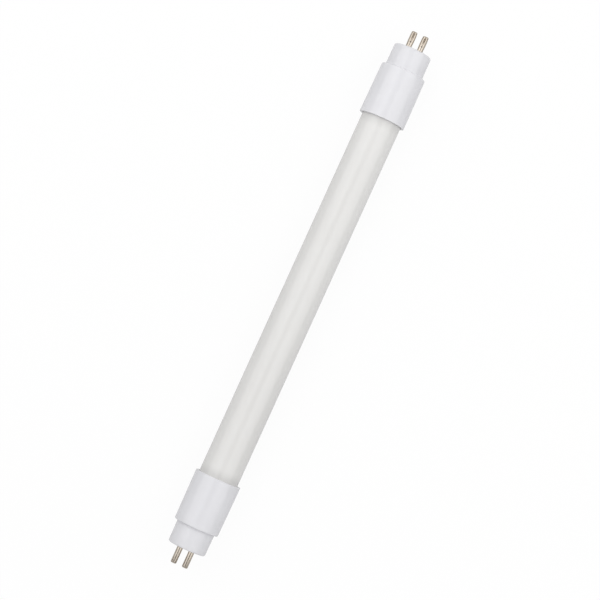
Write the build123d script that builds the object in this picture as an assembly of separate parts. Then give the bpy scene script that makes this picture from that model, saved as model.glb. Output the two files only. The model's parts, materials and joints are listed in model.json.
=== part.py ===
from build123d import *
import os
from math import floor, radians, sqrt, tan

# LED tube for two-pin lampholders, in millimetres.
# The tube lies along X with its middle at the origin. The fed end, which holds the
# driver, is at +X. The two pins of each end stand side by side along Y, and the LEDs
# shine upwards, along +Z.

# Overall length
FACE_TO_FACE = 212.0        # between the end faces of the two caps

# Opal glass tube
TUBE_OD = 16.0
TUBE_WALL = 0.9

# End caps, both out of the same mould
CAP_CLEARANCE = 0.1         # between the glass and the bore of the sleeve
SLEEVE_LENGTH = 20.7
SLEEVE_WALL = 1.2           # at the open rim
NOSE_LENGTH = 9.0
NOSE_OD = 15.5              # at the shoulder
NOSE_WALL = 1.2
SHOULDER_WALL = 1.3         # web that the glass butts against
END_WALL = 1.6
DRAFT_ANGLE = 0.6           # degrees, on the outside
LEAD_IN = 0.35              # bevel that lets the glass into the sleeve
SHOULDER_BEVEL = 0.35
NOSE_RADIUS = 0.7

# Contact pins, hollow and riveted into the end wall
PIN_PITCH = 4.75
PIN_OD = 2.36
PIN_LENGTH = 7.1
PIN_WALL = 0.48
PIN_TIP_BEVEL = 0.24
TAIL_WALL = 0.25            # thinner neck that passes through the end wall
TAIL_CLEARANCE = 0.02
RIVET_OVERHANG = 0.5        # how far the rolled end reaches past the neck
RIVET_THICKNESS = 0.5
CRIMP_WHEEL_RADIUS = 4.2    # path of the crimping nose along the pin
CRIMP_NOSE_RADIUS = 0.5
CRIMP_SETBACK = 1.65        # middle of the crimp, from the pin tip
CRIMP_CLEARANCE = 0.03      # what is left around the gripped wire

# Wires
WIRE_OD = 0.5               # bare conductor, and the legs of the components
WIRE_CLEARANCE = 0.01
LEAD_OD = 1.2               # insulation of the two mains leads
LEAD_BEND = 1.6
LEAD_STRIP = 0.4            # bare length beside a pin or a board
LINK_OD = 1.0               # insulation of the two leads to the LED board
LINK_BEND = 1.2
LINK_RISE = 2.6             # height of these leads above the driver board
LINK_SPREAD = 6.4           # distance between them

# LED board and its LEDs
LED_BOARD_WIDTH = 10.0
LED_BOARD_THICKNESS = 1.0
LED_BOARD_CLEARANCE = 0.05  # between its lower edges and the glass
LED_BOARD_END_GAP = 1.0     # from the end of the glass
BOARD_GAP = 2.0             # between the LED board and the driver board
LED_LENGTH = 2.8
LED_WIDTH = 3.5
LED_HEIGHT = 0.7
LED_FRAME_WALL = 0.35
PHOSPHOR_DEPTH = 0.25
LED_PITCH = 7.2
LED_MARGIN = 0.8            # bare board beyond the last LED
GLUE_WIDTH = 6.0
GLUE_CLEARANCE = 0.03       # between the bead and the glass
GLUE_END_GAP = 3.0          # bare board beyond the bead

# Driver board, held in two grooves of the fed cap
DRIVER_DROP = 2.2           # top of the board below the tube axis
DRIVER_THICKNESS = 1.0
DRIVER_EDGE_GAP = 0.15
DRIVER_END_GAP = 2.0        # from the end wall of the cap
INPUT_SETBACK = 3.0         # mains leads, from the outer end of the board
OUTPUT_SETBACK = 1.2        # output leads, from the inner end of the board
HOLE_CLEARANCE = 0.1        # around each leg
PART_GAP = 0.8              # free board between components
RIB_THICKNESS = 0.8
RIB_GRIP = 1.0              # how far the ribs reach over the board edge
RIB_CLEARANCE = 0.05
RIB_ROOT = 0.3              # ribs grow out of the wall by this much

# Components
JOINT_FOOT_OD = 1.2
JOINT_TOP_OD = 0.8
JOINT_HEIGHT = 0.7
FUSE_OD = 2.3
FUSE_WAIST_OD = 2.0
FUSE_RIB_GAP = 0.12         # between its solder joints and the ribs of the cap
FUSE_SHOULDER = 1.2         # length of each thicker end
FUSE_LEG_REACH = 0.8        # leg beyond the body before it turns down
FUSE_LEG_BEND = 0.4
CHOKE_OD = 6.0
CHOKE_HEIGHT = 6.0
CHOKE_FLANGE = 1.0
CHOKE_HUB_OD = 2.8
CHOKE_COIL_OD = 5.2
CHOKE_LEG_PITCH = 4.8
CAPACITOR_OD = 6.3
CAPACITOR_HEIGHT = 7.5
CAPACITOR_GROOVE = 0.3      # depth of the rolled groove
CAPACITOR_GROOVE_HEIGHT = 1.4
CAPACITOR_TOP_BEVEL = 0.3
CAPACITOR_LEG_PITCH = 2.5
BRIDGE_LENGTH = 4.7
BRIDGE_WIDTH = 3.9
BRIDGE_HEIGHT = 2.3
BRIDGE_LEG_PITCH = 2.54
BRIDGE_OFFSET = 1.4         # from the fuse towards the choke
CHIP_LENGTH = 4.9
CHIP_WIDTH = 3.9
CHIP_HEIGHT = 1.4
CHIP_LEG_PITCH = 1.27
CHIP_LEGS_A_SIDE = 4
LEG_WIDTH = 0.4
LEG_THICKNESS = 0.2
LEG_REACH = 0.6             # how far a leg stands out from the moulding
PACKAGE_STANDOFF = 0.1
PACKAGE_BEVEL = 0.3
RESISTOR_LENGTH = 2.0
RESISTOR_WIDTH = 1.25
RESISTOR_HEIGHT = 0.5

# Stations along X, all for the fed end
end_x = FACE_TO_FACE / 2
inner_end_x = end_x - END_WALL
shoulder_x = end_x - NOSE_LENGTH
rim_x = shoulder_x - SLEEVE_LENGTH
glass_end_x = shoulder_x - SHOULDER_WALL
draft = tan(radians(DRAFT_ANGLE))

# Radii
glass_bore_r = TUBE_OD / 2 - TUBE_WALL
sleeve_bore_r = TUBE_OD / 2 + CAP_CLEARANCE
rim_r = sleeve_bore_r + SLEEVE_WALL
nose_bore_r = NOSE_OD / 2 - NOSE_WALL
pin_r = PIN_OD / 2
pin_bore_r = pin_r - PIN_WALL
tail_r = pin_bore_r + TAIL_WALL
wire_r = WIRE_OD / 2
hole_r = wire_r + HOLE_CLEARANCE
joint_r = JOINT_FOOT_OD / 2

# The crimp closes the bore down to the wire
crimp_depth = pin_bore_r - wire_r - CRIMP_CLEARANCE

# Heights of the boards
driver_top_z = -DRIVER_DROP
driver_low_z = driver_top_z - DRIVER_THICKNESS
driver_half_width = sqrt(nose_bore_r**2 - driver_low_z**2) - DRIVER_EDGE_GAP
rib_edge_y = driver_half_width - RIB_GRIP
led_board_low_z = -sqrt((glass_bore_r - LED_BOARD_CLEARANCE) ** 2 - (LED_BOARD_WIDTH / 2) ** 2)
led_board_top_z = led_board_low_z + LED_BOARD_THICKNESS

# The components follow one another along the driver board from its outer end
driver_outer_x = inner_end_x - DRIVER_END_GAP
input_x = driver_outer_x - INPUT_SETBACK
fuse_x = input_x - LEAD_OD / 2 - PART_GAP - FUSE_OD / 2
bridge_x = fuse_x - BRIDGE_OFFSET
choke_x = fuse_x - max(
    FUSE_OD / 2 + PART_GAP + CHOKE_OD / 2,
    BRIDGE_OFFSET + BRIDGE_LENGTH / 2 + joint_r + PACKAGE_STANDOFF,
)
capacitor_x = choke_x - max(
    CHOKE_OD / 2 + PART_GAP + CAPACITOR_OD / 2,
    CHIP_LENGTH + JOINT_FOOT_OD + 2 * PACKAGE_STANDOFF,
)
chip_x = (choke_x + capacitor_x) / 2
output_x = capacitor_x - CAPACITOR_OD / 2 - PART_GAP - LINK_OD / 2
driver_inner_x = output_x - OUTPUT_SETBACK
fuse_leg_y = rib_edge_y - FUSE_RIB_GAP - joint_r

# The LED board ends short of the driver board, and its LEDs fill the window between caps
led_board_fed_x = driver_inner_x - BOARD_GAP
led_board_far_x = -glass_end_x + LED_BOARD_END_GAP
pad_x = led_board_fed_x - joint_r - LED_MARGIN
led_row_end_x = min(rim_x, pad_x - joint_r) - LED_MARGIN - LED_LENGTH / 2
leds_each_side = floor(led_row_end_x / LED_PITCH)
led_stations = [n * LED_PITCH for n in range(-leds_each_side, leds_each_side + 1)]

# Places of the legs that pass through the driver board
pin_sides = (-PIN_PITCH / 2, PIN_PITCH / 2)
link_sides = (-LINK_SPREAD / 2, LINK_SPREAD / 2)
driver_legs = (
    [(input_x, y) for y in pin_sides]
    + [(fuse_x, y) for y in (-fuse_leg_y, fuse_leg_y)]
    + [(choke_x, y) for y in (-CHOKE_LEG_PITCH / 2, CHOKE_LEG_PITCH / 2)]
    + [(capacitor_x, y) for y in (-CAPACITOR_LEG_PITCH / 2, CAPACITOR_LEG_PITCH / 2)]
    + [(output_x, y) for y in link_sides]
)
leg_end_z = driver_low_z - JOINT_HEIGHT


def vertex_near(face, x, y):
    """The corner of a flat profile that lies nearest to a point."""
    return face.vertices().sort_by_distance(Vector(x, y, 0))[0]


def upright(profile):
    """Turns a profile of radius and height about its axis and stands it along Z."""
    return Rot(90, 0, 0) * revolve(profile, Axis.Y)


def rod_x(radius, x_from, x_to, y=0, z=0):
    """A round rod along X."""
    return Pos((x_from + x_to) / 2, y, z) * Rot(0, 90, 0) * Cylinder(radius, x_to - x_from)


def rod_z(radius, z_from, z_to, x, y):
    """A round rod along Z."""
    return Pos(x, y, (z_from + z_to) / 2) * Cylinder(radius, z_to - z_from)


def block(x_from, x_to, y_from, y_to, z_from, z_to):
    """A box between two corners."""
    middle = Pos((x_from + x_to) / 2, (y_from + y_to) / 2, (z_from + z_to) / 2)
    return middle * Box(x_to - x_from, y_to - y_from, z_to - z_from)


def wire_along(points, bend, radius):
    """A round wire that follows straight runs joined by bends."""
    path = FilletPolyline(*points, radius=bend)
    section = Plane(origin=path @ 0, z_dir=path % 0) * Circle(radius)
    return sweep(section, path=path)


def to_far_end(shape):
    """The same piece turned round to the other end of the tube."""
    return Rot(0, 0, 180) * shape


def make_tube():
    """Glass tube whose ends butt against the shoulders of the caps."""
    outer_r = TUBE_OD / 2
    wall = Pos(0, (outer_r + glass_bore_r) / 2) * Rectangle(2 * glass_end_x, TUBE_WALL)
    return revolve(wall, Axis.X)


def make_cap():
    """Stepped cap: a drafted sleeve over the glass, then a narrower nose with the pins."""
    shoulder_r = rim_r - SLEEVE_LENGTH * draft
    nose_r = NOSE_OD / 2
    nose_end_r = nose_r - NOSE_LENGTH * draft
    profile = make_face(
        Polyline(
            (rim_x, sleeve_bore_r),
            (rim_x, rim_r),
            (shoulder_x, shoulder_r),
            (shoulder_x, nose_r),
            (end_x, nose_end_r),
            (end_x, 0),
            (inner_end_x, 0),
            (inner_end_x, nose_bore_r),
            (glass_end_x, nose_bore_r),
            (glass_end_x, sleeve_bore_r),
            close=True,
        )
    )
    profile = chamfer(vertex_near(profile, rim_x, sleeve_bore_r), min(LEAD_IN, SLEEVE_WALL / 3))
    profile = chamfer(vertex_near(profile, shoulder_x, shoulder_r), SHOULDER_BEVEL)
    profile = fillet(vertex_near(profile, end_x, nose_end_r), NOSE_RADIUS)
    cap = revolve(profile, Axis.X)
    cap += make_ribs()
    for y in pin_sides:
        cap -= rod_x(tail_r + TAIL_CLEARANCE, inner_end_x - END_WALL, end_x + END_WALL, y)
    return cap


def make_ribs():
    """Two grooves in the nose, each between an upper and a lower rib, for the driver board."""
    inside = rod_x(nose_bore_r + RIB_ROOT, glass_end_x, inner_end_x + RIB_ROOT)
    levels = (driver_top_z + RIB_CLEARANCE, driver_low_z - RIB_CLEARANCE - RIB_THICKNESS)
    ribs = []
    for z in levels:
        for y_from, y_to in ((rib_edge_y, nose_bore_r), (-nose_bore_r, -rib_edge_y)):
            bar = block(glass_end_x, inner_end_x + RIB_ROOT, y_from, y_to, z, z + RIB_THICKNESS)
            ribs.append(bar & inside)
    return ribs


def make_pin(side_y, crimped):
    """Hollow pin: shank on the end face, neck through the wall, end rolled over inside."""
    rivet_r = tail_r + RIVET_OVERHANG
    rivet_end_x = inner_end_x - RIVET_THICKNESS
    tip_x = end_x + PIN_LENGTH
    profile = make_face(
        Polyline(
            (rivet_end_x, pin_bore_r),
            (rivet_end_x, rivet_r),
            (inner_end_x, rivet_r),
            (inner_end_x, tail_r),
            (end_x, tail_r),
            (end_x, pin_r),
            (tip_x, pin_r),
            (tip_x, pin_bore_r),
            close=True,
        )
    )
    profile = chamfer(vertex_near(profile, rivet_end_x, rivet_r), RIVET_THICKNESS / 2)
    profile = chamfer(vertex_near(profile, tip_x, pin_r), min(PIN_TIP_BEVEL, PIN_WALL / 2))
    pin = revolve(profile, Axis.X)
    if crimped:
        pin = crimp(pin, tip_x - CRIMP_SETBACK)
    return Pos(0, side_y, 0) * pin


def crimp(pin, middle_x):
    """Presses a groove into the upper and the lower side of a pin.

    The wall keeps its thickness, so it bulges into the bore and grips the wire.
    """
    wheel_z = pin_r - crimp_depth + CRIMP_NOSE_RADIUS + CRIMP_WHEEL_RADIUS
    bore = rod_x(pin_bore_r, end_x, end_x + PIN_LENGTH)
    for z in (-wheel_z, wheel_z):
        place = Pos(middle_x, 0, z) * Rot(90, 0, 0)
        pin += bore & (place * Torus(CRIMP_WHEEL_RADIUS, CRIMP_NOSE_RADIUS + PIN_WALL))
        pin -= place * Torus(CRIMP_WHEEL_RADIUS, CRIMP_NOSE_RADIUS)
    return pin


def make_led_board():
    """Aluminium strip that rests with its lower edges in the glass."""
    half_width = LED_BOARD_WIDTH / 2
    return block(
        led_board_far_x, led_board_fed_x, -half_width, half_width, led_board_low_z, led_board_top_z
    )


def make_glue():
    """Bead of silicone between the underside of the LED board and the glass."""
    half_width = GLUE_WIDTH / 2
    x_from = led_board_far_x + GLUE_END_GAP
    x_to = led_board_fed_x - GLUE_END_GAP
    bead = block(x_from, x_to, -half_width, half_width, -glass_bore_r, led_board_low_z)
    return bead & rod_x(glass_bore_r - GLUE_CLEARANCE, x_from, x_to)


def make_leds():
    """LED housings in a row, and the phosphor that fills the recess of each."""
    top_z = led_board_top_z + LED_HEIGHT
    housing = block(
        -LED_LENGTH / 2, LED_LENGTH / 2, -LED_WIDTH / 2, LED_WIDTH / 2, led_board_top_z, top_z
    )
    half_length = LED_LENGTH / 2 - LED_FRAME_WALL
    half_width = LED_WIDTH / 2 - LED_FRAME_WALL
    fill = block(-half_length, half_length, -half_width, half_width, top_z - PHOSPHOR_DEPTH, top_z)
    housing -= fill
    housings = [Pos(x, 0, 0) * housing for x in led_stations]
    fills = [Pos(x, 0, 0) * fill for x in led_stations]
    return housings, fills


def make_driver_board():
    """Glass-fibre board with a hole for each leg."""
    board = block(
        driver_inner_x, driver_outer_x, -driver_half_width, driver_half_width, driver_low_z, driver_top_z
    )
    return board - [rod_z(hole_r, driver_low_z, driver_top_z, x, y) for x, y in driver_legs]


def make_joints():
    """Cones of solder around the legs under the driver board and on the LED board."""
    ring = Cone(joint_r, JOINT_TOP_OD / 2, JOINT_HEIGHT)
    ring -= Cylinder(wire_r + WIRE_CLEARANCE, JOINT_HEIGHT)
    hanging = Rot(180, 0, 0) * ring
    joints = [Pos(x, y, driver_low_z - JOINT_HEIGHT / 2) * hanging for x, y in driver_legs]
    for y in link_sides:
        joints.append(Pos(pad_x, y, led_board_top_z + JOINT_HEIGHT / 2) * ring)
    return joints


def make_mains_lead(side_y):
    """Lead from the crimp of a pin to the driver board."""
    cover_from_x = inner_end_x - RIVET_THICKNESS - LEAD_STRIP
    cover_to_z = driver_top_z + LEAD_STRIP
    bend = min(LEAD_BEND, DRIVER_DROP - LEAD_STRIP)
    cover = wire_along(
        [(cover_from_x, side_y, 0), (input_x, side_y, 0), (input_x, side_y, cover_to_z)],
        bend,
        LEAD_OD / 2,
    )
    core_end_x = end_x + PIN_LENGTH - CRIMP_SETBACK / 2
    cover += rod_x(wire_r, cover_from_x, core_end_x, side_y)
    cover += rod_z(wire_r, leg_end_z, cover_to_z, input_x, side_y)
    return cover


def make_link_lead(side_y):
    """Lead from the driver board over its inner end and down to the LED board."""
    arch_z = driver_top_z + LINK_RISE
    driver_cover_z = driver_top_z + LEAD_STRIP
    pad_cover_z = led_board_top_z + JOINT_HEIGHT
    cover = wire_along(
        [
            (output_x, side_y, driver_cover_z),
            (output_x, side_y, arch_z),
            (pad_x, side_y, arch_z),
            (pad_x, side_y, pad_cover_z),
        ],
        min(LINK_BEND, LINK_RISE / 2),
        LINK_OD / 2,
    )
    cover += rod_z(wire_r, leg_end_z, driver_cover_z, output_x, side_y)
    cover += rod_z(wire_r, led_board_top_z, pad_cover_z, pad_x, side_y)
    return cover


def make_fuse():
    """Fusible resistor that lies across the board, with both legs bent down through it."""
    end_r = FUSE_OD / 2
    waist_r = FUSE_WAIST_OD / 2
    half_length = fuse_leg_y - FUSE_LEG_REACH
    waist_y = half_length - FUSE_SHOULDER
    profile = make_face(
        Polyline(
            (0, -half_length),
            (end_r, -half_length),
            (end_r, -waist_y),
            (waist_r, -waist_y),
            (waist_r, waist_y),
            (end_r, waist_y),
            (end_r, half_length),
            (0, half_length),
            close=True,
        )
    )
    outer_corners = [vertex_near(profile, end_r, y) for y in (-half_length, half_length)]
    profile = chamfer(outer_corners, FUSE_SHOULDER / 3)
    axis_z = driver_top_z + end_r
    fuse = Pos(fuse_x, 0, axis_z) * revolve(profile, Axis.Y)
    for side in (-1, 1):
        start = (fuse_x, side * half_length, axis_z)
        corner = (fuse_x, side * fuse_leg_y, axis_z)
        foot = (fuse_x, side * fuse_leg_y, leg_end_z)
        fuse += wire_along([start, corner, foot], FUSE_LEG_BEND, wire_r)
    return fuse


def make_choke():
    """Drum core that stands on the board, and the coil between its flanges."""
    core_r = CHOKE_OD / 2
    hub_r = CHOKE_HUB_OD / 2
    coil_r = CHOKE_COIL_OD / 2
    top = CHOKE_HEIGHT - CHOKE_FLANGE
    core = make_face(
        Polyline(
            (0, 0),
            (core_r, 0),
            (core_r, CHOKE_FLANGE),
            (hub_r, CHOKE_FLANGE),
            (hub_r, top),
            (core_r, top),
            (core_r, CHOKE_HEIGHT),
            (0, CHOKE_HEIGHT),
            close=True,
        )
    )
    coil_height = top - CHOKE_FLANGE
    coil = Pos((hub_r + coil_r) / 2, CHOKE_FLANGE + coil_height / 2) * Rectangle(coil_r - hub_r, coil_height)
    place = Pos(choke_x, 0, driver_top_z)
    legs = [
        rod_z(wire_r, leg_end_z, driver_top_z, choke_x, y)
        for y in (-CHOKE_LEG_PITCH / 2, CHOKE_LEG_PITCH / 2)
    ]
    return place * upright(core), [place * upright(coil)] + legs


def make_capacitor():
    """Upright can with a rolled groove near its foot and two legs."""
    can_r = CAPACITOR_OD / 2
    groove_z = CAPACITOR_GROOVE_HEIGHT
    groove_side = CAPACITOR_GROOVE * sqrt(2)
    can = make_face(
        Polyline((0, 0), (can_r, 0), (can_r, CAPACITOR_HEIGHT), (0, CAPACITOR_HEIGHT), close=True)
    )
    can = chamfer(vertex_near(can, can_r, CAPACITOR_HEIGHT), CAPACITOR_TOP_BEVEL)
    can -= Pos(can_r, groove_z) * Rot(0, 0, 45) * Rectangle(groove_side, groove_side)
    capacitor = Pos(capacitor_x, 0, driver_top_z) * upright(can)
    for y in (-CAPACITOR_LEG_PITCH / 2, CAPACITOR_LEG_PITCH / 2):
        capacitor += rod_z(wire_r, leg_end_z, driver_top_z, capacitor_x, y)
    return capacitor


def make_package(length, width, height, leg_stations):
    """Moulded chip that hangs under a board at height zero, with legs bent to the board."""
    low_z = -PACKAGE_STANDOFF - height
    middle_z = -PACKAGE_STANDOFF - height / 2
    half_width = width / 2
    body = block(-length / 2, length / 2, -half_width, half_width, low_z, -PACKAGE_STANDOFF)
    body = chamfer(body.faces().sort_by(Axis.Z)[0].edges(), PACKAGE_BEVEL)
    knee_y = half_width + LEG_REACH / 2
    toe_y = half_width + LEG_REACH
    shape = make_face(
        Polyline(
            (half_width - PACKAGE_BEVEL, middle_z),
            (knee_y, middle_z),
            (knee_y, -LEG_THICKNESS),
            (toe_y, -LEG_THICKNESS),
            (toe_y, 0),
            (knee_y - LEG_THICKNESS, 0),
            (knee_y - LEG_THICKNESS, middle_z + LEG_THICKNESS),
            (half_width - PACKAGE_BEVEL, middle_z + LEG_THICKNESS),
            close=True,
        )
    )
    leg = extrude(Plane.YZ * shape, LEG_WIDTH / 2, both=True)
    for x in leg_stations:
        body += Pos(x, 0, 0) * leg
        body += Pos(x, 0, 0) * Rot(0, 0, 180) * leg
    return body


def make_bridge():
    """Rectifier with four legs under the fuse."""
    stations = (-BRIDGE_LEG_PITCH / 2, BRIDGE_LEG_PITCH / 2)
    package = make_package(BRIDGE_LENGTH, BRIDGE_WIDTH, BRIDGE_HEIGHT, stations)
    return Pos(bridge_x, 0, driver_low_z) * package


def make_chip():
    """Current regulator between the legs of the choke and the capacitor."""
    first = -(CHIP_LEGS_A_SIDE - 1) * CHIP_LEG_PITCH / 2
    stations = [first + n * CHIP_LEG_PITCH for n in range(CHIP_LEGS_A_SIDE)]
    package = make_package(CHIP_LENGTH, CHIP_WIDTH, CHIP_HEIGHT, stations)
    return Pos(chip_x, 0, driver_low_z) * package


def make_resistors():
    """Chip resistors under the board, each between a pair of soldered legs."""
    half_length = RESISTOR_LENGTH / 2
    half_width = RESISTOR_WIDTH / 2
    low_z = driver_low_z - RESISTOR_HEIGHT
    return [
        block(x - half_width, x + half_width, -half_length, half_length, low_z, driver_low_z)
        for x in (input_x, choke_x, output_x)
    ]


def save(name, shape):
    """Writes one node; a list of shapes becomes a group of separate solids."""
    if isinstance(shape, list):
        solids = [solid for piece in shape for solid in piece.solids()]
        shape = Compound(children=solids)
    export_step(shape, os.path.join("parts", name + ".step"))


os.makedirs("parts", exist_ok=True)

cap = make_cap()
led_housings, led_fills = make_leds()
choke_core, choke_coil = make_choke()
right_y, left_y = pin_sides
right_link_y, left_link_y = link_sides

save("diffuser_tube", make_tube())
save("fed_end_cap", cap)
save("far_end_cap", to_far_end(cap))
save("fed_pin_left", make_pin(left_y, crimped=True))
save("fed_pin_right", make_pin(right_y, crimped=True))
save("far_pin_left", to_far_end(make_pin(right_y, crimped=False)))
save("far_pin_right", to_far_end(make_pin(left_y, crimped=False)))
save("led_board", make_led_board())
save("board_glue", make_glue())
save("led_housings", led_housings)
save("led_phosphor", led_fills)
save("driver_board", make_driver_board())
save("solder_joints", make_joints())
save("live_lead", make_mains_lead(left_y))
save("neutral_lead", make_mains_lead(right_y))
save("positive_link", make_link_lead(left_link_y))
save("negative_link", make_link_lead(right_link_y))
save("fuse_resistor", make_fuse())
save("choke_core", choke_core)
save("choke_coil", choke_coil)
save("bulk_capacitor", make_capacitor())
save("bridge_rectifier", make_bridge())
save("driver_chip", make_chip())
save("chip_resistors", make_resistors())
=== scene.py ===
# %% [markdown]
# A slim LED tube, dressed for its photograph
#
# The real lamp is a narrow opal glass tube with a white moulded cap on each end and two hollow
# metal pins in each cap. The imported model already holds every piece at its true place, so this
# script only adds what the eye asks for: smooth skins for the glass, the caps and the pins, and
# a finish for everything. It could all be drawn with primitives and modifiers, but the pieces are
# turned shapes, and a turned shape is shortest as a formula worked out over a whole array.

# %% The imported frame
import json
from math import cos, radians, sin, tan

import bmesh
import bpy
import numpy as np
from mathutils import Matrix, Vector


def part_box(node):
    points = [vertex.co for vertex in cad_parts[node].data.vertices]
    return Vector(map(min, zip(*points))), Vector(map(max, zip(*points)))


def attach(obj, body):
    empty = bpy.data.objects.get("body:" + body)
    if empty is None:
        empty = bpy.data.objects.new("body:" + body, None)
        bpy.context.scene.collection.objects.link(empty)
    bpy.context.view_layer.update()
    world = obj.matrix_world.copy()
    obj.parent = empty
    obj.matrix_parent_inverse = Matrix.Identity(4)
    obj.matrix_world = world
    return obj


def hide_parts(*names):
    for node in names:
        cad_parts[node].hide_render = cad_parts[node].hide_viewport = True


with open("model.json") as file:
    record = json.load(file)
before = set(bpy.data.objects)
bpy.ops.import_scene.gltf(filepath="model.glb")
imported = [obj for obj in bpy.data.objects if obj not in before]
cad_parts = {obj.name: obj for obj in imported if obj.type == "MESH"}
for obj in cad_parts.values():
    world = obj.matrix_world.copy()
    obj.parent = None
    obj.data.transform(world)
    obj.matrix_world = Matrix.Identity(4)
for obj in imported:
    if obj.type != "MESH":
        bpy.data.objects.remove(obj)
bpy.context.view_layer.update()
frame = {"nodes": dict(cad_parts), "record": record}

print("nodes in the frame:", len(frame["nodes"]))

# %% [markdown]
# Points, faces and pieces
#
# Every new surface is a grid of points: one direction runs along a profile, the other runs round
# the axis. A grid becomes faces by counting: a point, its neighbour, the two in the next row.
# Blender could weld and shade such a mesh by hand in edit mode, and here bmesh does the same. It
# joins the points that lie on each other, so a seam closes, and it turns all faces outwards.

# %% Faces of a grid


def grid_faces(rows, columns, close_rows, close_columns):
    """The corners of each face: a point, the one beside it, the one below that, the one below itself.

    The number of a point is row * columns + column. A closed direction goes on from last to first.
    """
    first_row = np.arange(rows if close_rows else rows - 1)
    first_column = np.arange(columns if close_columns else columns - 1)
    row, column = np.meshgrid(first_row, first_column, indexing="ij")
    below = (row + 1) % rows
    beside = (column + 1) % columns
    corners = [
        row * columns + column,
        row * columns + beside,
        below * columns + beside,
        below * columns + column,
    ]
    return np.stack(corners, axis=-1).reshape(-1, 4)


print("faces of a ring with 2 rows of 5 points:", len(grid_faces(2, 5, False, True)))

# %% Closing a mesh
MM = 0.001
WELD_DISTANCE = 1e-7


def weld(mesh):
    """Joins the points that lie closer than the weld distance, and turns all faces outwards."""
    shell = bmesh.new()
    shell.from_mesh(mesh)
    bmesh.ops.remove_doubles(shell, verts=shell.verts, dist=WELD_DISTANCE)
    bmesh.ops.recalc_face_normals(shell, faces=shell.faces)
    shell.to_mesh(mesh)
    shell.free()


print("points closer than", round(WELD_DISTANCE / MM, 6), "mm will be joined")

# %% From grids to a piece
SHARP_DEGREES = 38


def make_piece(name, grids, far_end=False, marks=None):
    """One object out of grids of points in millimetres, given as (points, close_rows, close_columns).

    A piece of the far end is the same shape turned half round the Z axis: x and y change sign.
    Marks are one number a point, kept as an attribute that a finish can read.
    """
    turn = np.array([-1, -1, 1]) if far_end else np.ones(3)
    points, faces, start = [], [], 0
    for grid, close_rows, close_columns in grids:
        rows, columns = grid.shape[:2]
        points.append(grid.reshape(-1, 3) * turn * MM)
        faces.append(grid_faces(rows, columns, close_rows, close_columns) + start)
        start += rows * columns
    mesh = bpy.data.meshes.new(name)
    mesh.from_pydata(np.concatenate(points), [], np.concatenate(faces))
    if marks is not None:
        layer = mesh.attributes.new("pressed", "FLOAT", "POINT")
        layer.data.foreach_set("value", marks.astype(np.float32).ravel())
    weld(mesh)
    mesh.polygons.foreach_set("use_smooth", np.ones(len(mesh.polygons), bool))
    mesh.set_sharp_from_angle(angle=radians(SHARP_DEGREES))
    piece = bpy.data.objects.new(name, mesh)
    bpy.context.scene.collection.objects.link(piece)
    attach(piece, "root")
    print(name, "points", len(mesh.vertices), "faces", len(mesh.polygons))
    return piece


print("edges above", SHARP_DEGREES, "degrees stay sharp")

# %% [markdown]
# Profiles with soft corners
#
# No moulded, drawn or melted edge is truly sharp, and the thin bright line that a rounded edge
# catches is what makes a small object look real. A Bevel modifier would round the edges too, but
# it rounds all by one size. Here each corner of a profile has its own radius, and the straight
# runs get points that crowd towards their ends, so that the smooth shading stays flat in between.

# %% Soft corners
ARC_STEPS = 7


def soft_corner(before, corner, after, radius):
    """The arc that touches both runs of a corner, or the bare corner where the radius is zero.

    It starts radius / tan(half the corner's angle) before the corner, ends as far behind it, and its
    centre lies on the line that halves the angle, radius / sin(half the angle) away.
    """
    if radius == 0:
        return corner[None, :]
    back = (before - corner) / np.linalg.norm(before - corner)
    ahead = (after - corner) / np.linalg.norm(after - corner)
    half = np.arccos(np.clip(back @ ahead, -1, 1)) / 2
    halving = (back + ahead) / np.linalg.norm(back + ahead)
    centre = corner + halving * radius / np.sin(half)
    first = corner + back * radius / np.tan(half) - centre
    last = corner + ahead * radius / np.tan(half) - centre
    start = np.arctan2(first[1], first[0])
    swing = (np.arctan2(last[1], last[0]) - start + np.pi) % (2 * np.pi) - np.pi
    angle = start + swing * np.linspace(0, 1, ARC_STEPS)
    return centre + radius * np.stack([np.cos(angle), np.sin(angle)], axis=-1)


print("points on a rounded corner:", ARC_STEPS)

# %% Profiles


def soft_profile(corners, closed):
    """Points along an outline of corners (x, r, corner radius, points on the run behind it).

    The points of a run follow (1 - cos) / 2, so they lie closest at its two ends.
    """
    place = np.array([corner[:2] for corner in corners], float)
    count = len(corners)
    arcs = []
    for n in range(count):
        ends_here = not closed and n in (0, count - 1)
        radius = 0 if ends_here else corners[n][2]
        arcs.append(soft_corner(place[n - 1], place[n], place[(n + 1) % count], radius))
    parts = []
    for n in range(count):
        parts.append(arcs[n])
        if closed or n < count - 1:
            from_point, to_point = arcs[n][-1], arcs[(n + 1) % count][0]
            step = np.linspace(0, np.pi, corners[n][3] + 2)[1:-1, None]
            parts.append(from_point + (to_point - from_point) * (1 - np.cos(step)) / 2)
    return np.concatenate(parts)


soft_step = soft_profile([(0, 1, 0, 4), (1, 1, 0.1, 2), (1, 2, 0, 0)], closed=False)
print("points along a step with one soft corner:", len(soft_step))

# %% Turning a profile


def round_angles(columns):
    """Angles round the axis, counted from the top: 2 * pi * n / columns."""
    return np.linspace(0, 2 * np.pi, columns, endpoint=False)


def turned(x, radius, angle):
    """Points at a distance from the X axis: y = radius * sin(angle), z = radius * cos(angle)."""
    return np.stack(np.broadcast_arrays(x, radius * np.sin(angle), radius * np.cos(angle)), axis=-1)


print("four columns stand at", np.degrees(round_angles(4)), "degrees")

# %% [markdown]
# The glass tube
#
# On the real lamp this is a drawn glass tube, coated white inside, whose cut ends were melted
# round and now butt against a web in each cap. A cylinder with a Solidify modifier would do for
# its outside. A closed profile of the wall, turned round the axis, gives both faces of the wall
# and the rounded ends at once, and it has no poles to close. Length and thickness are read off the
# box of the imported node, as they are for the caps and the pins, so each skin fits what it covers.

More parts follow.
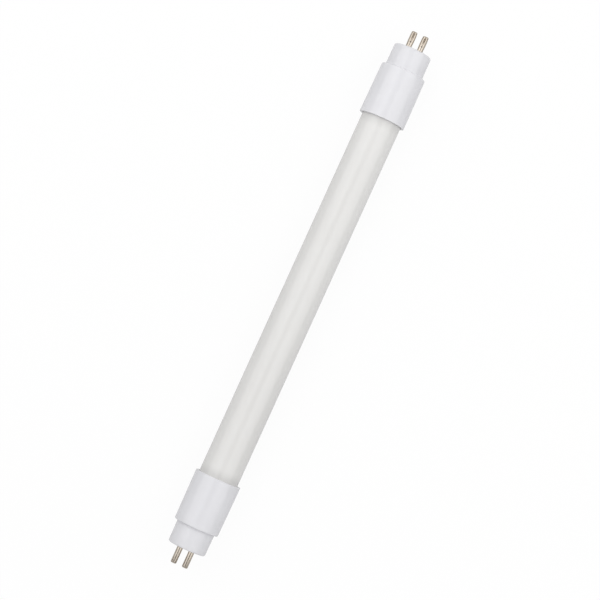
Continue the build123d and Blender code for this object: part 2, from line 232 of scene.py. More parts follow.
# %% Glass tube
TUBE_WALL = 0.9
MELTED_ROUND = 0.3
TUBE_COLUMNS = 256
TUBE_RUN_POINTS = 60


def node_box(node):
    """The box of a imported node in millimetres: rows for x, y and z, each from lowest to highest."""
    return np.array(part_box(node)).T / MM


tube_box = node_box("diffuser_tube")
glass_end_x = tube_box[0].max()
tube_r = tube_box[1:].max()
tube_bore_r = tube_r - TUBE_WALL

tube_outline = soft_profile(
    [
        (-glass_end_x, tube_r, MELTED_ROUND, TUBE_RUN_POINTS),
        (glass_end_x, tube_r, MELTED_ROUND, 1),
        (glass_end_x, tube_bore_r, MELTED_ROUND, TUBE_RUN_POINTS),
        (-glass_end_x, tube_bore_r, MELTED_ROUND, 1),
    ],
    closed=True,
)
tube_points = turned(tube_outline[:, :1], tube_outline[:, 1:], round_angles(TUBE_COLUMNS))
opal_tube = make_piece("opal_tube", [(tube_points, True, True)])
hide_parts("diffuser_tube")

# %% [markdown]
# The skin of a cap
#
# Both caps come out of one mould: a sleeve over the glass, a shoulder, and a narrower nose. The
# sleeve and the nose taper by little more than half a degree, so that they leave the mould. One
# open profile runs from the end face over the nose, the shoulder and the sleeve, round the rim with
# its bevel for the glass, and back along the inside. A Screw modifier would turn such a line too.
# Turned by the formula its points are known, and the end wall can be made to weld to them.

# %% Sizes of a cap
CAP_CLEARANCE = 0.1
SHOULDER_WALL = 1.3
NOSE_OD = 15.5
NOSE_WALL = 1.2
END_WALL = 1.6
DRAFT_ANGLE = 0.6
cap_box = node_box("fed_end_cap")
rim_x, end_x = cap_box[0]
rim_r = cap_box[1:].max()
shoulder_x = glass_end_x + SHOULDER_WALL
inner_end_x = end_x - END_WALL
draft = tan(radians(DRAFT_ANGLE))
sleeve_bore_r = tube_r + CAP_CLEARANCE
shoulder_r = rim_r - (shoulder_x - rim_x) * draft
nose_r = NOSE_OD / 2
nose_end_r = nose_r - (end_x - shoulder_x) * draft
nose_bore_r = nose_r - NOSE_WALL
print("sleeve", round(shoulder_x - rim_x, 3), "mm, nose", round(end_x - shoulder_x, 3), "mm long")

# %% Cap skin
CAP_COLUMNS = 256
FACE_RING = 1.2
LEAD_IN = 0.35
FACE_ROUND = 0.7
STEP_ROUND = 0.18
SHOULDER_ROUND = 0.42
RIM_ROUND = 0.16
LEAD_IN_ROUND = 0.06
BORE_ROUND = 0.1
face_r = nose_end_r - FACE_RING

cap_outline = soft_profile(
    [
        (end_x, face_r, 0, 3),
        (end_x, nose_end_r, FACE_ROUND, 16),
        (shoulder_x, nose_r, STEP_ROUND, 3),
        (shoulder_x, shoulder_r, SHOULDER_ROUND, 24),
        (rim_x, rim_r, RIM_ROUND, 2),
        (rim_x, sleeve_bore_r + LEAD_IN, LEAD_IN_ROUND, 2),
        (rim_x + LEAD_IN, sleeve_bore_r, BORE_ROUND, 16),
        (glass_end_x, sleeve_bore_r, 0, 3),
        (glass_end_x, nose_bore_r, 0, 10),
        (inner_end_x, nose_bore_r, 0, 0),
    ],
    closed=False,
)
cap_skin = turned(cap_outline[:, :1], cap_outline[:, 1:], round_angles(CAP_COLUMNS))
print("cap skin rows", len(cap_outline), "largest radius", round(cap_outline[:, 1].max(), 3), "mm")

# %% [markdown]
# The end wall with its two holes
#
# A disc with two holes isn't a turned shape, so a lathe can't make it. A Boolean would cut the
# holes and leave long thin faces. Cut in half between the holes, each half is a plain ruled
# surface: from the rim of its hole straight out to its outline, which is half a circle and the cut.
# The points on the half circle are the ones the skin ends with, so that the two weld.

# %% Outline of half a wall
CUT_POINTS = 64


def half_outline(radius):
    """Half a circle from the top round the +Y side to the bottom, then back up along y = 0."""
    angle = round_angles(CAP_COLUMNS)[: CAP_COLUMNS // 2 + 1]
    arc = radius * np.stack([np.sin(angle), np.cos(angle)], axis=-1)
    up = np.linspace(-radius, radius, CUT_POINTS)[1:-1]
    cut = np.stack([np.zeros_like(up), up], axis=-1)
    return np.concatenate([arc, cut])


print("points round half a wall:", len(half_outline(face_r)))

# %% Rim of a pin hole
PIN_WALL = 0.48
TAIL_WALL = 0.25
TAIL_CLEARANCE = 0.02
pin_box = node_box("fed_pin_left")
pin_y = pin_box[1].mean()
# The mounts of the record are the four pins, all of one radius
pin_r = frame["record"]["mounts"][0]["dims"]["r_mm"]
pin_bore_r = pin_r - PIN_WALL
tail_r = pin_bore_r + TAIL_WALL
hole_r = tail_r + TAIL_CLEARANCE


def hole_rim():
    """Hole centre + hole radius * (outline - centre) / its length, so each point faces the outline."""
    centre = np.array([pin_y, 0])
    away = half_outline(nose_bore_r) - centre
    return centre + hole_r * away / np.linalg.norm(away, axis=1, keepdims=True)


print("holes of radius", round(hole_r, 3), "mm,", round(pin_y, 3), "mm off the axis")

# %% End walls and pin holes
RULING_STEPS = 6
HOLE_STEPS = 3


def wall_half(wall_x, radius, side):
    """Ruled surface: rim + share * (outline - rim), on one side of the cut."""
    share = np.linspace(0, 1, RULING_STEPS)[:, None, None]
    flat = hole_rim() + share * (half_outline(radius) - hole_rim())
    return np.stack(np.broadcast_arrays(wall_x, side * flat[..., 0], flat[..., 1]), axis=-1)


def hole_wall(side):
    """The rim of a hole, carried through the end wall: only x changes."""
    station = np.linspace(end_x, inner_end_x, HOLE_STEPS)[:, None]
    rim = hole_rim()
    return np.stack(np.broadcast_arrays(station, side * rim[:, 0], rim[:, 1]), axis=-1)


cap_grids = [(cap_skin, False, True)]
for side in (1, -1):
    cap_grids.append((wall_half(end_x, face_r, side), False, True))
    cap_grids.append((wall_half(inner_end_x, nose_bore_r, side), False, True))
    cap_grids.append((hole_wall(side), False, True))
print("surfaces of a cap so far", len(cap_grids))

# %% [markdown]
# Ribs for the driver board
#
# Inside the nose two pairs of ribs make the grooves that the driver board slides into. Each rib is
# a bar whose outer side follows the wall. It could be a cube cut by a cylinder. As a formula it is
# one closed section carried along the tube, drawn together to a point at each end.

# %% A rib
RIB_THICKNESS = 0.8
RIB_CLEARANCE = 0.05
RIB_ROOT = 0.05
RIB_GRIP = 1.0
RIB_SIDE_POINTS = 9
board_box = node_box("driver_board")
board_low_z, board_top_z = board_box[2]
rib_levels = (board_top_z + RIB_CLEARANCE, board_low_z - RIB_CLEARANCE - RIB_THICKNESS)
rib_edge_y = board_box[1].max() - RIB_GRIP


def rib(side, low_z):
    """A section carried along X: up the wall, where y = sqrt(r * r - z * z), and down the free edge."""
    rise = np.linspace(0, RIB_THICKNESS, RIB_SIDE_POINTS)
    outer_y = np.sqrt((nose_bore_r + RIB_ROOT) ** 2 - (low_z + rise) ** 2)
    y = side * np.concatenate([outer_y, np.full(RIB_SIDE_POINTS, rib_edge_y)])
    z = low_z + np.concatenate([rise, rise[::-1]])
    section = np.stack([y, z], axis=-1)
    middle = np.broadcast_to(section.mean(axis=0), section.shape)
    rows = np.stack([middle, section, section, middle])
    station = np.array([glass_end_x, glass_end_x, inner_end_x, inner_end_x])[:, None]
    return np.stack(np.broadcast_arrays(station, rows[..., 0], rows[..., 1]), axis=-1)


print("free edges of the ribs", round(rib_edge_y, 3), "mm off the axis")

# %% Both caps
for side in (1, -1):
    for low_z in rib_levels:
        cap_grids.append((rib(side, low_z), False, True))

fed_cap = make_piece("fed_cap", cap_grids)
far_cap = make_piece("far_cap", cap_grids, far_end=True)
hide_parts("fed_end_cap")
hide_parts("far_end_cap")

# %% [markdown]
# Round pins
#
# A pin is a drawn tube: a shank that stands on the end face, a thinner neck through the wall, and
# an end that is rolled over inside like a rivet. Stacked cylinders would do from afar. Here the
# outline, bore included, is one closed line that is turned like the glass. At the far end the pins
# carry no wire, so they stay as round as they were made. A straight shank needs few points along
# it. The crimped pins will ask the same outline for many.

# %% Outline of a pin
PIN_TIP_BEVEL = 0.24
RIVET_ROUND = 0.24
RIVET_BORE_ROUND = 0.08
SEAT_ROUND = 0.05
TIP_SIDE_ROUND = 0.2
TIP_FACE_ROUND = 0.1
TIP_BORE_ROUND = 0.06
rivet_end_x, tip_x = pin_box[0]
rivet_r = np.ptp(pin_box[1]) / 2


def pin_outline(shank_points):
    """Stations and radii round the wall of a pin, with so many points along the shank and its bore."""
    outline = soft_profile(
        [
            (rivet_end_x, pin_bore_r, RIVET_BORE_ROUND, 2),
            (rivet_end_x, rivet_r, RIVET_ROUND, 1),
            (inner_end_x, rivet_r, SEAT_ROUND, 2),
            (inner_end_x, tail_r, 0, 3),
            (end_x, tail_r, 0, 2),
            (end_x, pin_r, SEAT_ROUND, shank_points),
            (tip_x - PIN_TIP_BEVEL, pin_r, TIP_SIDE_ROUND, 2),
            (tip_x, pin_r - PIN_TIP_BEVEL, TIP_FACE_ROUND, 2),
            (tip_x, pin_bore_r, TIP_BORE_ROUND, shank_points),
        ],
        closed=True,
    )
    return outline[:, :1], outline[:, 1:]


print("a pin stands", round(tip_x - end_x, 3), "mm off its cap")

# %% Round pins
PIN_COLUMNS = 160
ROUND_SHANK_POINTS = 10
pin_angle = round_angles(PIN_COLUMNS)


def set_aside(points, side):
    """Moves a pin from the tube axis to its place in the cap: y + side * half the pins' distance."""
    return points + np.array([0, side * pin_y, 0])


far_pins = []
round_x, round_radius = pin_outline(ROUND_SHANK_POINTS)
for name, side in (("left", -1), ("right", 1)):
    points = set_aside(turned(round_x, round_radius, pin_angle), side)
    pin = make_piece(f"far_contact_{name}", [(points, True, True)], far_end=True)
    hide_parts(f"far_pin_{name}")
    far_pins.append(pin)

# %% [markdown]
# Crimped pins
#
# At the fed end a tool has pressed each pin onto its wire from above and below. The groove is the
# track of a blunt wheel: long, pointed towards the cap and still open at the tip. Sculpting would
# give a groove, but not the same one four times over. As a formula it is a depth along the pin times
# a bell across it. The depth follows the rim of the wheel, which is a circle. The same depth with a
# wider bell presses the bore down to the wire. The metal that is pushed away bulges sideways a
# little, as it does on the real pin.

# %% Depth along a crimp
CRIMP_WHEEL_RADIUS = 10.7
CRIMP_SETBACK = 1.65
CRIMP_CLEARANCE = 0.03
CRIMP_SOFTNESS = 0.05
WIRE_RADIUS = 0.25
crimp_x = tip_x - CRIMP_SETBACK
crimp_depth = pin_bore_r - WIRE_RADIUS - CRIMP_CLEARANCE


def soft_least(a, b, softness):
    """The smaller of two values, with the crease between them rounded.

    It is b + (a - b) * s - softness * s * (1 - s), where s goes from 0 to 1 as a falls below b.
    """
    share = np.clip(0.5 + 0.5 * (b - a) / softness, 0, 1)
    return b + (a - b) * share - softness * share * (1 - share)


def pressed_depth(x):
    """How far the wheel goes in at a station: the full depth less the rise of its rim, or nothing.

    At a distance d from its lowest point the rim has risen by R - sqrt(R * R - d * d).
    """
    along = np.clip((x - crimp_x) / CRIMP_WHEEL_RADIUS, -1, 1)
    rise = CRIMP_WHEEL_RADIUS * (1 - np.sqrt(1 - along**2))
    return crimp_depth - soft_least(rise, crimp_depth, CRIMP_SOFTNESS)


print("depth at the tip", round(float(pressed_depth(tip_x)), 3), "of", round(crimp_depth, 3), "mm")

# %% Crimped pins
CRIMP_SHANK_POINTS = 110
GROOVE_SPREAD = 0.31
DENT_SPREAD = 0.87
BULGE = 0.08
BULGE_SETBACK = 2.8
BULGE_RUN = 2.0
bulge_x = tip_x - BULGE_SETBACK


def crimped_radius(x, radius, angle):
    """Own radius * (1 + bulge * sin(angle) ** 2) - depth * exp(-(a / spread) ** 4).

    Here a is the angle from the nearer of top and bottom. What lies over a quarter of the wall beyond
    the bore is the outside. The bulge is there alone, and the dent in the bore has a wider spread.
    """
    outside = radius > pin_bore_r + PIN_WALL / 4
    swell = BULGE * np.exp(-(((x - bulge_x) / BULGE_RUN) ** 4)) * outside
    spread = np.where(outside, GROOVE_SPREAD, DENT_SPREAD)
    from_press = np.arcsin(np.abs(np.sin(angle)))
    pressed = pressed_depth(x) * np.exp(-((from_press / spread) ** 4))
    return radius * (1 + swell * np.sin(angle) ** 2) - pressed


pin_x, pin_radius = pin_outline(CRIMP_SHANK_POINTS)
fed_radius = crimped_radius(pin_x, pin_radius, pin_angle)
dent = np.clip((pin_radius - fed_radius) / crimp_depth, 0, 1)
fed_pins = []
for name, side in (("left", 1), ("right", -1)):
    points = set_aside(turned(pin_x, fed_radius, pin_angle), side)
    pin = make_piece(f"fed_contact_{name}", [(points, True, True)], marks=dent)
    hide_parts(f"fed_pin_{name}")
    fed_pins.append(pin)

# %% [markdown]
# Finishes
#
# A finish is a few nodes around one Principled shader. They could be joined by hand in the Shader
# Editor. Small functions join them alike for every finish. Noise on Object coordinates gives each
# surface its own slight unevenness at its own scale, in metres, so that a pattern keeps its size
# whatever piece it lies on. Values that are the same all over stay on the shader's sockets.

# %% Places and noise
NOISE_DETAIL = 3.0
EVEN = (1, 1, 1)


def new_finish(name):
    """A material with a Principled shader and its Object coordinates."""
    finish = bpy.data.materials.new(name)
    finish.use_nodes = True
    nodes = finish.node_tree.nodes
    shader = nodes["Principled BSDF"]
    place = nodes.new("ShaderNodeTexCoord")
    return finish, finish.node_tree, shader, place.outputs["Object"]


def add_noise(tree, place, scale, detail=NOISE_DETAIL, stretch=EVEN):
    """Noise with a scale in waves a metre; a stretch below one draws it out along that axis."""
    mapping = tree.nodes.new("ShaderNodeMapping")
    mapping.inputs["Scale"].default_value = stretch
    tree.links.new(place, mapping.inputs["Vector"])
    noise = tree.nodes.new("ShaderNodeTexNoise")
    noise.inputs["Scale"].default_value = scale
    noise.inputs["Detail"].default_value = detail
    tree.links.new(mapping.outputs["Vector"], noise.inputs["Vector"])
    return noise.outputs["Fac"]


print("noise has", NOISE_DETAIL, "finer layers unless a finish asks for more or fewer")

# %% Colours
NOISE_LOW = 0.3
NOISE_HIGH = 0.7


def add_ramp(tree, value, tones, low=NOISE_LOW, high=NOISE_HIGH):
    """Two tones, blended between a low and a high value of the noise."""
    ramp = tree.nodes.new("ShaderNodeValToRGB")
    for element, position, tone in zip(ramp.color_ramp.elements, (low, high), tones):
        element.position = position
        element.color = (*tone, 1)
    tree.links.new(value, ramp.inputs["Fac"])
    return ramp.outputs["Color"]


def add_mix(tree, share, first, last):
    """One colour, turning into another as the share goes from zero to one."""
    mix = tree.nodes.new("ShaderNodeMix")
    mix.data_type = "RGBA"
    tree.links.new(share, mix.inputs["Factor"])
    tree.links.new(first, mix.inputs["A"])
    tree.links.new(last, mix.inputs["B"])
    return mix.outputs["Result"]


print("noise is used from", NOISE_LOW, "to", NOISE_HIGH)

# %% Gloss and bumps
BUMP_STRENGTH = 1.0


def add_range(tree, value, low, high):
    """The noise, stretched from its usual values onto a range."""
    spread = tree.nodes.new("ShaderNodeMapRange")
    spread.inputs["From Min"].default_value = NOISE_LOW
    spread.inputs["From Max"].default_value = NOISE_HIGH
    spread.inputs["To Min"].default_value = low
    spread.inputs["To Max"].default_value = high
    tree.links.new(value, spread.inputs["Value"])
    return spread.outputs["Result"]


def add_bump(tree, shader, value, depth):
    """A bump of a given depth in millimetres: the height at a point is depth * value."""
    bump = tree.nodes.new("ShaderNodeBump")
    bump.inputs["Strength"].default_value = BUMP_STRENGTH
    bump.inputs["Distance"].default_value = depth * MM
    tree.links.new(value, bump.inputs["Height"])
    tree.links.new(bump.outputs["Normal"], shader.inputs["Normal"])


print("bumps have strength", BUMP_STRENGTH)

# %% Arithmetic, and the place along the lamp


def add_math(tree, operation, *values):
    """One operation on one or two values, each of them a plain number or what another node gives."""
    node = tree.nodes.new("ShaderNodeMath")
    node.operation = operation
    for socket, value in zip(node.inputs, values):
        if isinstance(value, bpy.types.NodeSocket):
            tree.links.new(value, socket)
        else:
            socket.default_value = value
    return node.outputs[0]


def add_station(tree, place):
    """The place along the lamp, which is the X of the coordinates."""
    split = tree.nodes.new("ShaderNodeSeparateXYZ")
    tree.links.new(place, split.inputs["Vector"])
    return split.outputs["X"]


print("stations run from", round(-tip_x, 2), "to", round(tip_x, 2), "mm")

# %% [markdown]
# Opal glass
#
# The coating behind the glass scatters the light, so the tube looks like warm white milk glass with
# a faint cloudiness, and the glass before it adds a soft, wide sheen. Next to a cap the tube lies in
# shade, because light that enters there is lost under the cap. True scattering would show all this
# at the cost of many samples. Here that shade is painted: a pale base that darkens along X.

# %% Painted shade beside the caps
CAP_SHADE_FROM = 4.6
CAP_SHADE_TO = 0.7


def add_cap_shade(tree, place):
    """Painted shade: rises smoothly from nothing, some millimetres off a sleeve's rim, to one close to
    it.

    Both ends are alike, so it follows the distance from the middle of the lamp, which is |x|.
    """
    rise = tree.nodes.new("ShaderNodeMapRange")
    rise.interpolation_type = "SMOOTHSTEP"
    rise.inputs["From Min"].default_value = (rim_x - CAP_SHADE_FROM) * MM
    rise.inputs["From Max"].default_value = (rim_x - CAP_SHADE_TO) * MM
    tree.links.new(add_math(tree, "ABSOLUTE", add_station(tree, place)), rise.inputs["Value"])
    return rise.outputs["Result"]


print("the shade starts", CAP_SHADE_FROM, "mm off a rim")

# %% Opal glass finish
MILK_TONES = ((0.772, 0.764, 0.749), (0.797, 0.79, 0.776))
# The milk tones darkened: painted shade next to the caps
PAINTED_SHADE_TONES = ((0.69, 0.682, 0.668), (0.71, 0.703, 0.69))
CLOUD_LOW = 0.35
CLOUD_HIGH = 0.65
OPAL_CLOUD_SCALE = 70
OPAL_CLOUD_STRETCH = (0.35, 1, 1)
OPAL_GRAIN_SCALE = 2600
OPAL_GRAIN_DEPTH = 0.003
OPAL_ROUGHNESS = (0.18, 0.23)
OPAL_IOR = 1.5

opal, tree, shader, place = new_finish("opal_glass_finish")
cloud = add_noise(tree, place, OPAL_CLOUD_SCALE, stretch=OPAL_CLOUD_STRETCH)
grain = add_noise(tree, place, OPAL_GRAIN_SCALE, detail=2)
milk = add_ramp(tree, cloud, MILK_TONES, CLOUD_LOW, CLOUD_HIGH)
painted_shade = add_ramp(tree, cloud, PAINTED_SHADE_TONES, CLOUD_LOW, CLOUD_HIGH)
# Painted shade: next to each cap the base turns to the darker tones
tree.links.new(add_mix(tree, add_cap_shade(tree, place), milk, painted_shade), shader.inputs["Base Color"])
tree.links.new(add_range(tree, grain, *OPAL_ROUGHNESS), shader.inputs["Roughness"])
add_bump(tree, shader, grain, OPAL_GRAIN_DEPTH)
shader.inputs["IOR"].default_value = OPAL_IOR
opal_tube.data.materials.append(opal)
print(opal.name, "nodes", len(tree.nodes))

# %% [markdown]
# Moulded plastic
#
# The caps are a cooler white than the glass. A polished mould still leaves a fine, shallow grain,
# and thick walls shrink unevenly, which a slow second noise shows as a slight change of tone. An
# image texture would need a place on each piece. Noise in space needs none and has no seam.

# %% Cap finish
CAP_TONES = ((0.782, 0.78, 0.808), (0.802, 0.8, 0.828))
CAP_TONE_SCALE = 120
CAP_GRAIN_SCALE = 3200
CAP_GRAIN_DEPTH = 0.002
CAP_ROUGHNESS = (0.15, 0.2)
CAP_IOR = 1.48

moulded, tree, shader, place = new_finish("cap_plastic_finish")
tone = add_noise(tree, place, CAP_TONE_SCALE)
grain = add_noise(tree, place, CAP_GRAIN_SCALE, detail=4)
colour = add_ramp(tree, tone, CAP_TONES, CLOUD_LOW, CLOUD_HIGH)
tree.links.new(colour, shader.inputs["Base Color"])
tree.links.new(add_range(tree, grain, *CAP_ROUGHNESS), shader.inputs["Roughness"])
add_bump(tree, shader, grain, CAP_GRAIN_DEPTH)
shader.inputs["IOR"].default_value = CAP_IOR
for cap in (fed_cap, far_cap):
    cap.data.materials.append(moulded)
print(moulded.name, "nodes", len(tree.nodes))

# %% [markdown]
# Plated pins
#
# The pins are brass with a thin nickel plating, drawn through a die that leaves fine lines along
# them. Noise that is stretched along the pin draws those lines into the colour and the gloss.
# Where the tool pressed, the plating is worn and a warmer, darker metal shows. A painted mask could
# say where that is, but the dent is known from its formula, so it was kept as a mark on each point.

# %% Pin finish
PLATED_TONES = ((0.42, 0.37, 0.31), (0.65, 0.585, 0.51))
WORN_TONES = ((0.34, 0.28, 0.22), (0.59, 0.51, 0.42))
LINE_SCALE = 2400
LINE_STRETCH = (0.03, 1, 1)
LINE_DEPTH = 0.004
BLOTCH_SCALE = 900
PIN_ROUGHNESS = (0.06, 0.13)

plated, tree, shader, place = new_finish("pin_metal_finish")
lines = add_noise(tree, place, LINE_SCALE, detail=4, stretch=LINE_STRETCH)
blotch = add_noise(tree, place, BLOTCH_SCALE)
bright = add_ramp(tree, lines, PLATED_TONES)
worn = add_ramp(tree, blotch, WORN_TONES)
mark = tree.nodes.new("ShaderNodeAttribute")
mark.attribute_name = "pressed"
tree.links.new(add_mix(tree, mark.outputs["Fac"], bright, worn), shader.inputs["Base Color"])
tree.links.new(add_range(tree, lines, *PIN_ROUGHNESS), shader.inputs["Roughness"])
add_bump(tree, shader, lines, LINE_DEPTH)
shader.inputs["Metallic"].default_value = 1.0
for pin in far_pins + fed_pins:
    pin.data.materials.append(plated)
print(plated.name, "nodes", len(tree.nodes))

# %% [markdown]
# What lies inside
#
# The boards, the LEDs and the driver can't be seen through the opal wall, but they are part of the
# model and show when someone opens it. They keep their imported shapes. A plain colour each would do
# from afar. Here one function gives each of them two tones of its own material, with the grain that
# the material has. The mains leads are stripped where they run into the pins, so past that station
# along X they are copper.

# %% A finish in two tones
LEAD_STRIP = 0.4
COPPER_TONES = ((0.5, 0.23, 0.11), (0.66, 0.33, 0.17))
GLOSS_SPREAD = 0.08
bare_from_x = rivet_end_x - LEAD_STRIP


def two_tone(name, first, last, scale, roughness, metallic=0.0, stretch=EVEN, stripped=False):
    """Two tones blended by noise, a gloss that follows it, and copper past a lead's stripped end."""
    finish, tree, shader, place = new_finish(name)
    grain = add_noise(tree, place, scale, stretch=stretch)
    colour = add_ramp(tree, grain, (first, last))
    if stripped:
        bare = add_math(tree, "GREATER_THAN", add_station(tree, place), bare_from_x * MM)
        colour = add_mix(tree, bare, colour, add_ramp(tree, grain, COPPER_TONES))
    gloss = add_range(tree, grain, roughness - GLOSS_SPREAD, roughness + GLOSS_SPREAD)
    tree.links.new(colour, shader.inputs["Base Color"])
    tree.links.new(gloss, shader.inputs["Roughness"])
    shader.inputs["Metallic"].default_value = metallic
    return finish


print("leads are bare past", round(bare_from_x, 2), "mm")

# %% Finishes of the inner pieces
chip_black = two_tone("chip_moulding", (0.012, 0.012, 0.013), (0.03, 0.03, 0.032), 3000, 0.6)
inner_finishes = {
    "led_board": two_tone("white_lacquer", (0.74, 0.74, 0.72), (0.8, 0.8, 0.78), 400, 0.45),
    "board_glue": two_tone("silicone_bead", (0.62, 0.62, 0.61), (0.72, 0.72, 0.7), 300, 0.5),
    "led_housings": two_tone("led_moulding", (0.74, 0.73, 0.68), (0.82, 0.81, 0.76), 2000, 0.5),
    "led_phosphor": two_tone("phosphor_fill", (0.72, 0.5, 0.08), (0.82, 0.6, 0.13), 4000, 0.35),
    "driver_board": two_tone("board_laminate", (0.02, 0.1, 0.04), (0.03, 0.14, 0.06), 2500, 0.4),
    "solder_joints": two_tone(
        "solder_grain", (0.5, 0.51, 0.53), (0.66, 0.67, 0.68), 5000, 0.35, metallic=1.0
    ),
    "live_lead": two_tone(
        "brown_cover", (0.06, 0.02, 0.008), (0.09, 0.035, 0.012), 2000, 0.5, stripped=True
    ),
    "neutral_lead": two_tone(
        "blue_cover", (0.01, 0.05, 0.22), (0.015, 0.07, 0.3), 2000, 0.5, stripped=True
    ),
    "positive_link": two_tone("red_cover", (0.3, 0.008, 0.006), (0.4, 0.014, 0.01), 2000, 0.5),
    "negative_link": two_tone("black_cover", (0.008, 0.008, 0.009), (0.02, 0.02, 0.021), 2000, 0.5),
    "fuse_resistor": two_tone("fuse_lacquer", (0.09, 0.18, 0.13), (0.13, 0.24, 0.18), 2500, 0.4),
    "choke_core": two_tone("ferrite", (0.01, 0.01, 0.011), (0.025, 0.025, 0.027), 3500, 0.65),
    "choke_coil": two_tone(
        "enamelled_wire", (0.36, 0.12, 0.035), (0.56, 0.22, 0.07), 5000, 0.3, 1.0, (0.1, 0.1, 1)
    ),
    "bulk_capacitor": two_tone(
        "capacitor_sleeve", (0.006, 0.01, 0.02), (0.012, 0.018, 0.035), 1500, 0.3
    ),
    "bridge_rectifier": chip_black,
    "driver_chip": chip_black,
    "chip_resistors": two_tone("resistor_glaze", (0.01, 0.01, 0.011), (0.03, 0.03, 0.033), 3000, 0.35),
}
for node, finish in inner_finishes.items():
    mesh = frame["nodes"][node].data
    mesh.materials.clear()
    mesh.materials.append(finish)
print("inner pieces finished:", len(inner_finishes))

# %% [markdown]
# The floor
#
# The photograph has a pure white ground with no visible edge. A white sheet under strong lamps
# would do that, and would flood the lamp with light from below. So the floor is a plain sheet that
# throws back little more than half of the light. To the camera it is paler, and most of it shines
# plain white, while the rest is lit and keeps a breath of the lamp's shadow. Gloss sees about half
# of that white, which gives the glass and the caps their light rims and leaves the pins dark sides.

# %% Floor
FLOOR_HALF = 3.0
floor_z = -rim_r * MM
edge = np.array([-FLOOR_HALF, FLOOR_HALF])
floor_x, floor_y = np.meshgrid(edge, edge, indexing="ij")
floor_points = np.stack(np.broadcast_arrays(floor_x, floor_y, floor_z), axis=-1).reshape(-1, 3)
floor_mesh = bpy.data.meshes.new("floor")
floor_mesh.from_pydata(floor_points, [], [(0, 2, 3, 1)])
floor = bpy.data.objects.new("floor", floor_mesh)
bpy.context.scene.collection.objects.link(floor)
print("floor height", round(floor_z / MM, 2), "mm")

# %% What a ray sees of the white
FLOOR_WHITE_TO_CAMERA = 0.94
FLOOR_WHITE_TO_GLOSS = 0.45


def white_share(tree, to_camera, to_gloss):
    """How much plain white a ray sees: camera ray * its share + passed ray * the share of gloss.

    A passed ray is one that gloss has thrown back or clear glass has let through.
    """
    ray = tree.nodes.new("ShaderNodeLightPath").outputs
    passed = add_math(tree, "MAXIMUM", ray["Is Glossy Ray"], ray["Is Transmission Ray"])
    camera_part = add_math(tree, "MULTIPLY", ray["Is Camera Ray"], to_camera)
    gloss_part = add_math(tree, "MULTIPLY", passed, to_gloss)
    return add_math(tree, "ADD", camera_part, gloss_part)


print("white of the floor: camera", FLOOR_WHITE_TO_CAMERA, "gloss", FLOOR_WHITE_TO_GLOSS)

# %% Floor finish
GREY_TONES = ((0.56, 0.56, 0.56), (0.58, 0.58, 0.58))
PALE_TONES = ((0.94, 0.94, 0.94), (0.96, 0.96, 0.96))
FIBRE_SCALE = 300
FLOOR_ROUGHNESS = 0.9
FLOOR_SPECULAR = 0.1

sheet, tree, shader, place = new_finish("floor_sheet")
fibre = add_noise(tree, place, FIBRE_SCALE)
grey = add_ramp(tree, fibre, GREY_TONES)
pale = add_ramp(tree, fibre, PALE_TONES)
ray = tree.nodes.new("ShaderNodeLightPath").outputs
tree.links.new(add_mix(tree, ray["Is Camera Ray"], grey, pale), shader.inputs["Base Color"])
shader.inputs["Roughness"].default_value = FLOOR_ROUGHNESS
shader.inputs["Specular IOR Level"].default_value = FLOOR_SPECULAR
white = tree.nodes.new("ShaderNodeEmission")
blend = tree.nodes.new("ShaderNodeMixShader")
tree.links.new(white_share(tree, FLOOR_WHITE_TO_CAMERA, FLOOR_WHITE_TO_GLOSS), blend.inputs["Fac"])
tree.links.new(shader.outputs["BSDF"], blend.inputs[1])
tree.links.new(white.outputs["Emission"], blend.inputs[2])
tree.links.new(blend.outputs["Shader"], tree.nodes["Material Output"].inputs["Surface"])
floor_mesh.materials.append(sheet)
print(sheet.name, "nodes", len(tree.nodes))

# %% [markdown]
# The room
#
# Past the floor stands a plain room. A picture of a studio could surround the lamp, but one dim grey
# lights it as evenly. The camera sees the room white, as it does the floor. Gloss sees next to
# nothing of that white, so the metal keeps a dark horizon and looks like metal.

# %% World
WHITE = (1, 1, 1, 1)
ROOM_LEVEL = 0.3
BACKDROP_LEVEL = 1.0
WORLD_WHITE_TO_CAMERA = 1.0
WORLD_WHITE_TO_GLOSS = 0.05

world = bpy.data.worlds.new("studio")
world.use_nodes = True
bpy.context.scene.world = world
tree = world.node_tree
room = tree.nodes["Background"]
backdrop = tree.nodes.new("ShaderNodeBackground")
for background, level in ((room, ROOM_LEVEL), (backdrop, BACKDROP_LEVEL)):
    background.inputs["Color"].default_value = WHITE
    background.inputs["Strength"].default_value = level
blend = tree.nodes.new("ShaderNodeMixShader")
tree.links.new(white_share(tree, WORLD_WHITE_TO_CAMERA, WORLD_WHITE_TO_GLOSS), blend.inputs["Fac"])
tree.links.new(room.outputs["Background"], blend.inputs[1])
tree.links.new(backdrop.outputs["Background"], blend.inputs[2])
tree.links.new(blend.outputs["Shader"], tree.nodes["World Output"].inputs["Surface"])
print(world.name, "nodes", len(tree.nodes))

# %% [markdown]
# Three soft boxes
#
# The photograph shows two wide light bands along the tube with a slight dip between them: a large
# soft box on each side of the camera. Small lamps would leave hard bright lines on the glass. The
# boxes reach far past the fed end, which is the brighter one, and end just past the far end, so the
# pins there mirror only their edge and are darker. A small third box lights the steps of the caps
# from the far end. An area light aims along its own -Z, so its turn is worked out from where it looks.

# %% A soft box
LAMP_DISTANCE = 0.65


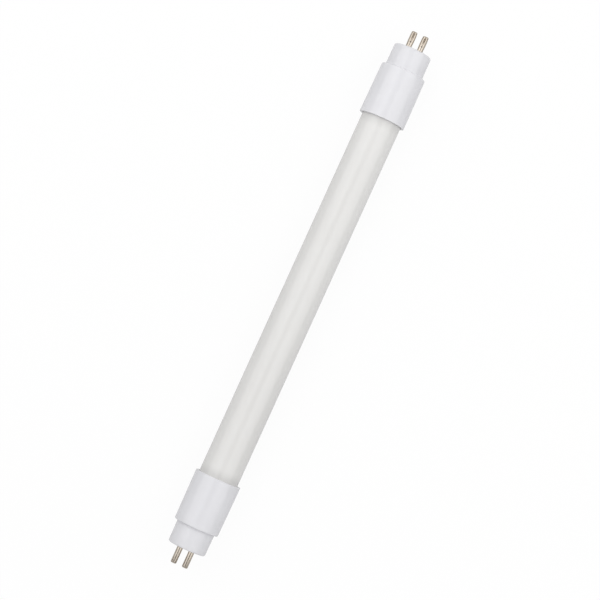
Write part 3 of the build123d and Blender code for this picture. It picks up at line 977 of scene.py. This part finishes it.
def soft_box(name, target_x, lean_degrees, tip_degrees, length, width, radiance):
    """A lamp of power radiance * pi * area, leaning across the tube and tipped along it.

    It stands off a point of the tube's axis by the lamp distance and looks at that point.
    """
    lean, tip = radians(lean_degrees), radians(tip_degrees)
    back = Vector((sin(tip), cos(tip) * sin(lean), cos(tip) * cos(lean)))
    along = Vector((cos(tip), -sin(tip) * sin(lean), -sin(tip) * cos(lean)))
    across = back.cross(along)
    lamp = bpy.data.lights.new(name, "AREA")
    lamp.shape = "RECTANGLE"
    lamp.size = length
    lamp.size_y = width
    lamp.energy = radiance * np.pi * length * width
    holder = bpy.data.objects.new(name, lamp)
    turn = Matrix((along, across, back)).transposed().to_4x4()
    holder.matrix_world = Matrix.Translation(Vector((target_x, 0, 0)) + back * LAMP_DISTANCE) @ turn
    holder.visible_camera = False
    bpy.context.scene.collection.objects.link(holder)
    print(name, "power", round(lamp.energy, 3), "W")


print("soft boxes stand", LAMP_DISTANCE, "m off the tube's axis")

# %% Lamps
# Name, target along X, lean across and tip along in degrees, length, width, radiance
LAMPS = (
    ("soft_box_left", 0.328, 43.5, 0, 1.006, 0.77, 1.4),
    ("soft_box_right", 0.328, -42.5, 0, 1.006, 0.74, 1.38),
    ("soft_box_front", 0.0, 0, -60, 0.36, 0.6, 1.3),
)
for lamp_settings in LAMPS:
    soft_box(*lamp_settings)

# %% [markdown]
# The camera
#
# The photograph looks down on the lying tube, with the far end a little nearer to the lens than the
# fed end, and the tube runs up to the right. A camera could be turned by hand until that fits. Here
# it is placed by its distance and that slant, and rolled so that the tube's axis has the angle that
# was measured in the picture.

# %% Directions of the camera
CAMERA_SLANT = 1.8
AXIS_ANGLE = 65.5

slant = radians(CAMERA_SLANT)
back = Vector((-sin(slant), 0, cos(slant)))
along = (Vector((1, 0, 0)) - back * back.x).normalized()
across = back.cross(along)
roll = radians(AXIS_ANGLE)
right = along * cos(roll) - across * sin(roll)
up = along * sin(roll) + across * cos(roll)
turn = Matrix((right, up, back)).transposed().to_4x4()
print("the camera looks along", [round(-part, 3) for part in back])

# %% Camera
IMAGE_SIDE = 600
SENSOR = 36.0
CAMERA_DISTANCE = 0.87
FOCAL_PIXELS = 2244.0
FAR_CLIP = 20
AIM = Vector((-0.00044, -0.00013, 0.0))

lens = bpy.data.cameras.new("camera")
lens.sensor_width = SENSOR
lens.lens = FOCAL_PIXELS * SENSOR / IMAGE_SIDE
lens.clip_end = FAR_CLIP
camera = bpy.data.objects.new("camera", lens)
camera.matrix_world = Matrix.Translation(AIM + back * CAMERA_DISTANCE) @ turn
bpy.context.scene.collection.objects.link(camera)
bpy.context.scene.camera = camera
bpy.context.scene.view_settings.view_transform = "Standard"
print("lens", round(lens.lens, 1), "mm")
